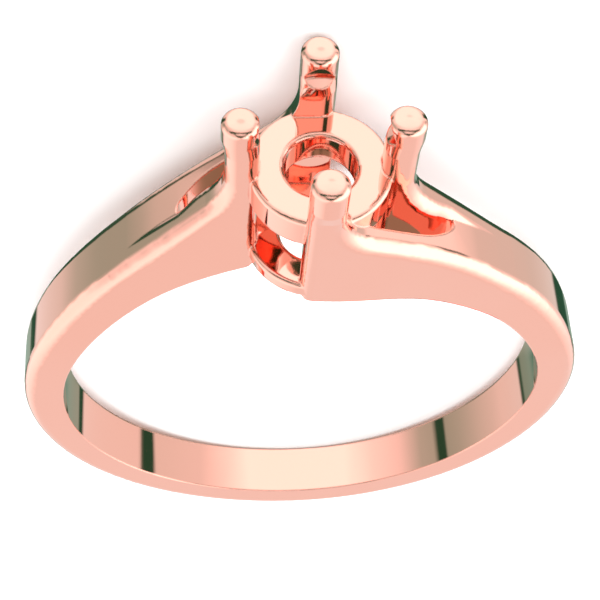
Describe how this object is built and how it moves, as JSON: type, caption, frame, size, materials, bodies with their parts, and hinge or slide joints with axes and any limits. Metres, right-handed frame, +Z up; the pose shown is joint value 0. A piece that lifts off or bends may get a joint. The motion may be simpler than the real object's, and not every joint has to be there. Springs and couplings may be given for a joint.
{
  "type": "solitaire ring mount",
  "caption": "Finger ring with a plain shank whose shoulders split into crossing arms and rise into upright claws around an open seat, ready for one round stone.",
  "frame": {"origin": "on the floor below the middle of the ring, lying on its side", "axes": "+Z up, close to the finger hole's axis, -Y from the finger hole towards the claws, X across the shank"},
  "size_m": [0.0192, 0.0244, 0.0057],
  "materials": {
    "rose_gold": "high polish"
  },
  "bodies": {
    "root": {"ring_mount": "rose_gold"}
  },
  "joints": []
}
